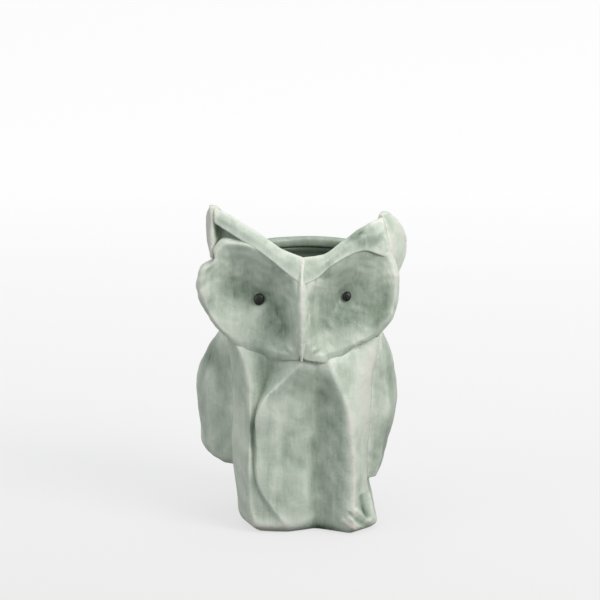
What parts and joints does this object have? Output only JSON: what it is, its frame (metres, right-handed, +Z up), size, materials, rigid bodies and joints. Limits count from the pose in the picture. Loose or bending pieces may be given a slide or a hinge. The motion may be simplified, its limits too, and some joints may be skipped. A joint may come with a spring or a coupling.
{
  "type": "hollow owl figurine",
  "caption": "Hand-built glazed ceramic owl figurine, hollow and open at the crown, with pressed eye bowls, a knife-cut body and leaf-shaped wings; stands on its flat base",
  "frame": {"origin": "centre of the flat base, on the pot's axis, on the surface that the owl stands on", "axes": "+Z up along the pot's axis; -Y the way the owl faces; +X towards the viewer's right when the owl is seen from the front"},
  "size_m": [0.1065, 0.091, 0.162],
  "materials": {
    "celadon_glaze": "semi-gloss pale grey-green glaze, thin and cream on the edges, deeper green in the hollows",
    "black_glaze": "glossy near-black glaze"
  },
  "bodies": {
    "root": {"pot": "celadon_glaze", "lip_coil": "celadon_glaze", "left_foot": "celadon_glaze", "right_foot": "celadon_glaze", "left_flank": "celadon_glaze", "breast": "celadon_glaze", "right_flank": "celadon_glaze", "back_slab": "celadon_glaze", "left_wing": "celadon_glaze", "right_wing": "celadon_glaze", "left_temple": "celadon_glaze", "right_temple": "celadon_glaze", "nape": "celadon_glaze", "left_bowl": "celadon_glaze", "right_bowl": "celadon_glaze", "beak": "celadon_glaze", "left_brow": "celadon_glaze", "right_brow": "celadon_glaze", "left_ear": "celadon_glaze", "right_ear": "celadon_glaze", "left_eye": "black_glaze", "right_eye": "black_glaze"}
  },
  "joints": []
}
